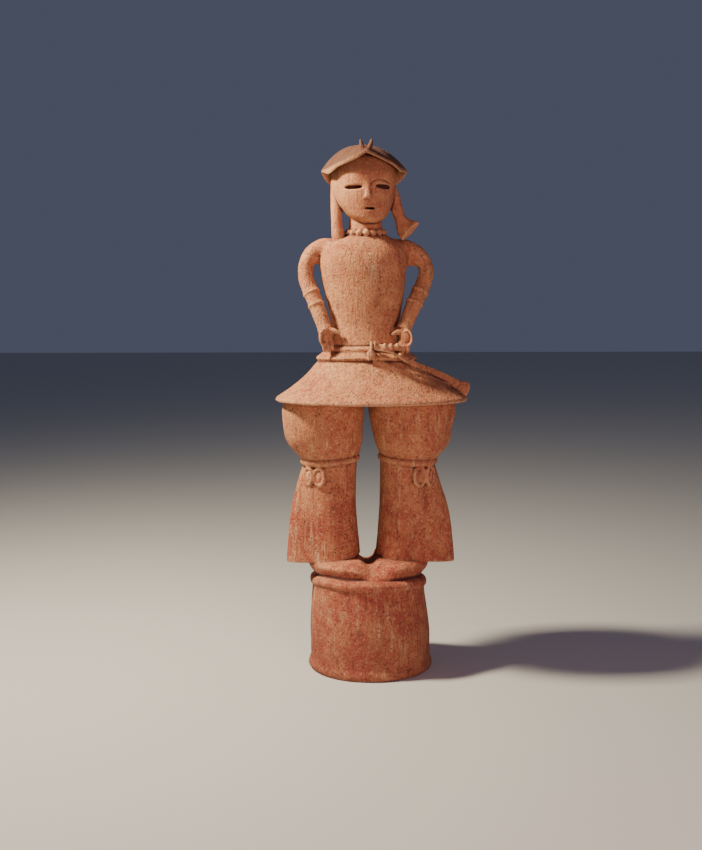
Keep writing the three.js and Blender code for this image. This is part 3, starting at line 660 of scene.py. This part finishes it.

# The crown is the top of the hat, above the line of its front edge, for its dark patina; the forehead under
# it gets a fainter share, as a painted shadow of the brim.
x, y, z = (points * 1000 - [AXIS_X, 0, 0]).T
inwards = np.clip(1 - np.abs(x - HAT_X) / HAT_REACH, 0, 1)
above_edge = smoothstep(z - HAT_SIDE_Z - PEAK_RISE * inwards**PEAK_BEND, -9, 3)
# Painted shadow of the hat's brim, fainter, on the forehead under it.
brim_shadow_on_forehead = 0.45 * smoothstep(z, CAP_Z - 7, CAP_Z + 13)
crown_patina_and_brim_shadow = np.maximum(above_edge, brim_shadow_on_forehead)
mesh.attributes.new("crown_and_brim_shadow", "FLOAT", "POINT").data.foreach_set("value", crown_patina_and_brim_shadow.astype(np.float32))

# The hand-made surface is uneven, but the rim that it stands on is level. Rows: millimetres of height,
# humps a metre.
HUMPS = ((1.1, 14), (0.55, 42), (0.22, 110))
normals = np.empty(3 * len(mesh.vertices), np.float32)
mesh.vertices.foreach_get("normal", normals)
uneven = np.array([sum(rise * noise.noise(Vector(p) * scale) for rise, scale in HUMPS) for p in points])
uneven *= smoothstep(points[:, 2], 0.001, 0.008)
points += uneven[:, None] / 1000 * normals.reshape(-1, 3)
points = np.clip(points, np.array(cad_box[0]), np.array(cad_box[1]))
mesh.vertices.foreach_set("co", points.astype(np.float32).ravel())
mesh.update()

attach(haniwa, "root")
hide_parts("haniwa_figure")


def linear(hex_colour):
    """An sRGB hex colour as the linear colour that a shader takes."""
    parts = [int(hex_colour[i:i + 2], 16) / 255 for i in (1, 3, 5)]
    return [c / 12.92 if c <= 0.04045 else ((c + 0.055) / 1.055) ** 2.4 for c in parts] + [1.0]


def add_node(tree, kind, inputs=None, **settings):
    """Adds a node. Its inputs are plain values or the outputs of other nodes."""
    made = tree.nodes.new(kind)
    for name, value in settings.items():
        setattr(made, name, value)
    for socket, value in (inputs or {}).items():
        if isinstance(value, bpy.types.NodeSocket):
            tree.links.new(value, made.inputs[socket])
        else:
            made.inputs[socket].default_value = value
    return made


# Terracotta, scraped and wiped: an iron-rich clay fired low without glaze. It is dry and dull, redder and
# darker low down, paler above the waist, partly as buff clay and partly as painted light where the key lamp
# falls, with paler strokes where the scraper dragged fine clay over it, brown soil and painted shade in its
# hollows, a dark patina on the crown of the hat and a painted shadow of the brim on the forehead.
RED_CLAY, BUFF_CLAY, PALE_SLIP, SOIL_AND_SHADE, PATINA_AND_BRIM_SHADOW = "#9e4c38", "#c98d5e", "#e4c294", "#452220", "#43211a"
terracotta = bpy.data.materials.new("terracotta, scraped and wiped")
terracotta.use_nodes = True
tree = terracotta.node_tree
place = add_node(tree, "ShaderNodeTexCoord").outputs["Object"]
height = add_node(tree, "ShaderNodeSeparateXYZ", {0: place}).outputs["Z"]
upright = add_node(tree, "ShaderNodeMapping", {"Vector": place, "Scale": (1, 1, 0.12)}).outputs[0]
relief = add_node(tree, "ShaderNodeAttribute", attribute_name="proud").outputs["Fac"]
# How hollow the clay is, for soil and painted shade in hollows.
hollow_soil_and_shade = add_node(tree, "ShaderNodeMath", {0: relief, 1: -1}, operation="MULTIPLY").outputs[0]
crown_and_brim_shadow = add_node(tree, "ShaderNodeAttribute", attribute_name="crown_and_brim_shadow").outputs["Fac"]

# Patches of the clay. Rows: name, where, size in millimetres, detail, the range kept, the shares at its
# ends.
patches = {}
for name, where, size_mm, detail, low, high, to_low, to_high in (
    ("firing", place, 150, 4, 0.35, 0.65, -0.2, 0.2),
    ("mottle", place, 22, 5, 0.35, 0.65, -0.2, 0.2),
    ("stroke", upright, 12, 5, 0.5, 0.7, 0, 1),
    ("stroke area", place, 90, 4, 0.4, 0.65, 0, 0.55),
    ("soil streak", upright, 8, 5, 0.5, 0.72, 0, 1),
    ("soil area", place, 50, 4, 0.4, 0.65, 0, 0.5),
    ("pitting", place, 5, 3, 0.55, 0.7, 0, 0.6),
    ("wear", place, 6, 5, 0.5, 0.7, 0, 0.35),
    ("dryness", place, 30, 4, 0.3, 0.7, 0.82, 0.95),
):
    cloud = add_node(tree, "ShaderNodeTexNoise", {
        "Vector": where, "Scale": 1000 / size_mm, "Detail": detail, "Roughness": 0.65,
    })
    patches[name] = add_node(tree, "ShaderNodeMapRange", {
        "Value": cloud.outputs[0], "From Min": low, "From Max": high, "To Min": to_low, "To Max": to_high,
    }, interpolation_type="SMOOTHSTEP").outputs[0]

# Patches that follow the height or the relief. Rows: name, value, the range kept, the shares at its ends.
for name, value, low, high, to_low, to_high in (
    # Paler above the waist: partly buff clay, partly painted light where the key lamp falls on the upper
    # body.
    ("buff clay and painted light above the waist", height, 0.25, 0.85, 0.18, 0.68),
    ("below the neck", height, 1.02, 1.08, 1, 0.2),
    # The hat's patina, with a painted shadow of the brim on the forehead.
    ("crown_and_brim_shadow", crown_and_brim_shadow, 0, 1, 0, 0.85),
    # Darker towards the bottom of the tube.
    ("darker low down", height, 0.0, 0.3, 0.28, 0),
    ("rubbed edge", relief, 0.3, 1.5, 0, 0.3),
    # Soil and painted shade, darker in hollows and grooves.
    ("soil and painted shade in hollows", hollow_soil_and_shade, 0.12, 1.0, 0, 0.92),
):
    patches[name] = add_node(tree, "ShaderNodeMapRange", {
        "Value": value, "From Min": low, "From Max": high, "To Min": to_low, "To Max": to_high,
    }, interpolation_type="SMOOTHSTEP").outputs[0]

# Products and sums of two patches, for the coats below and for the bump.
for name, operation, one, other in (
    ("two firings", "ADD", "firing", "mottle"),
    ("buff and painted light", "ADD", "buff clay and painted light above the waist", "two firings"),
    ("whole stroke", "MULTIPLY", "stroke", "stroke area"),
    ("dragged slip", "MULTIPLY", "whole stroke", "below the neck"),
    ("whole streak", "MULTIPLY", "soil streak", "soil area"),
    ("washed soil", "MULTIPLY", "whole streak", "below the neck"),
    ("pit", "MULTIPLY", "pitting", "below the neck"),
    ("scrapes", "ADD", "stroke", "soil streak"),
):
    patches[name] = add_node(
        tree, "ShaderNodeMath", {0: patches[one], 1: patches[other]}, operation=operation
    ).outputs[0]

colour = linear(RED_CLAY)
# The coats in turn: buff clay with painted light above the waist, pale slip and wear, the hat's patina with
# a painted brim shadow on the forehead, soil darker low down, washed soil, pits, and soil with painted
# shade in hollows.
for share, coat in (
    ("buff and painted light", BUFF_CLAY), ("dragged slip", PALE_SLIP), ("wear", PALE_SLIP), ("rubbed edge", PALE_SLIP),
    ("crown_and_brim_shadow", PATINA_AND_BRIM_SHADOW), ("darker low down", SOIL_AND_SHADE), ("washed soil", SOIL_AND_SHADE), ("pit", SOIL_AND_SHADE), ("soil and painted shade in hollows", SOIL_AND_SHADE),
):
    colour = add_node(
        tree, "ShaderNodeMix", {0: patches[share], 6: colour, 7: linear(coat)}, data_type="RGBA"
    ).outputs[2]

# The bump is sand in the clay, less the pits, plus the marks of the scraper.
SAND_MM, BUMP_M, IOR = 4, 0.002, 1.45
sand = add_node(tree, "ShaderNodeTexNoise", {
    "Vector": place, "Scale": 1000 / SAND_MM, "Detail": 5,
}).outputs[0]
pitted = add_node(tree, "ShaderNodeMath", {0: sand, 1: patches["pit"]}, operation="SUBTRACT").outputs[0]
scraped = add_node(tree, "ShaderNodeMath", {0: patches["scrapes"], 1: 0.5}, operation="MULTIPLY").outputs[0]
rough = add_node(tree, "ShaderNodeMath", {0: pitted, 1: scraped}, operation="ADD").outputs[0]
grit = add_node(tree, "ShaderNodeBump", {"Height": rough, "Distance": BUMP_M, "Strength": 1.0}).outputs[0]
shader = tree.nodes["Principled BSDF"]
tree.links.new(colour, shader.inputs["Base Color"])
tree.links.new(grit, shader.inputs["Normal"])
tree.links.new(patches["dryness"], shader.inputs["Roughness"])
shader.inputs["IOR"].default_value = IOR
mesh.materials.clear()
mesh.materials.append(terracotta)

# ---------------------------------------------------------------- floor, light and camera
# A plain matt floor, a small key lamp high at the figure's right, near enough to fade towards the base,
# and a weak wide one in front. Rows of the lamps: name, place, aim, size, watts, tint.
floor_mesh = bpy.data.meshes.new("floor")
floor_mesh.from_pydata([(-15, -15, 0), (15, -15, 0), (15, 15, 0), (-15, 15, 0)], [], [(0, 1, 2, 3)])
floor = bpy.data.objects.new("floor", floor_mesh)
bpy.context.collection.objects.link(floor)
paper = bpy.data.materials.new("matt paper")
paper.use_nodes = True
paper.node_tree.nodes["Principled BSDF"].inputs["Base Color"].default_value = linear("#c4c3bf")
paper.node_tree.nodes["Principled BSDF"].inputs["Roughness"].default_value = 0.95
floor.data.materials.append(paper)

world = bpy.data.worlds.new("studio")
world.use_nodes = True
world.node_tree.nodes["Background"].inputs["Color"].default_value = linear("#bcc6ee")
world.node_tree.nodes["Background"].inputs["Strength"].default_value = 0.14
bpy.context.scene.world = world

for name, location, aim, size, power, tint in (
    ("key lamp", (-1.45, -0.2, 2.25), (0, 0, 1.0), 0.28, 140, "#fff0d4"),
    ("front lamp", (0.7, -3.1, 0.9), (0, 0, 0.5), 0.9, 42, "#ffcccc"),
):
    light = bpy.data.lights.new(name, "AREA")
    light.size, light.energy, light.color = size, power, linear(tint)[:3]
    lamp = bpy.data.objects.new(name, light)
    lamp.location = location
    lamp.rotation_euler = (Vector(aim) - lamp.location).to_track_quat("-Z", "Y").to_euler()
    bpy.context.collection.objects.link(lamp)

camera_data = bpy.data.cameras.new("camera")
camera_data.lens = 51.63
camera = bpy.data.objects.new("camera", camera_data)
camera.location = (-0.171, -2.926, 0.920)
camera.rotation_euler = (Vector((-0.057, 0, 0.594)) - camera.location).to_track_quat("-Z", "Y").to_euler()
bpy.context.collection.objects.link(camera)
bpy.context.scene.camera = camera
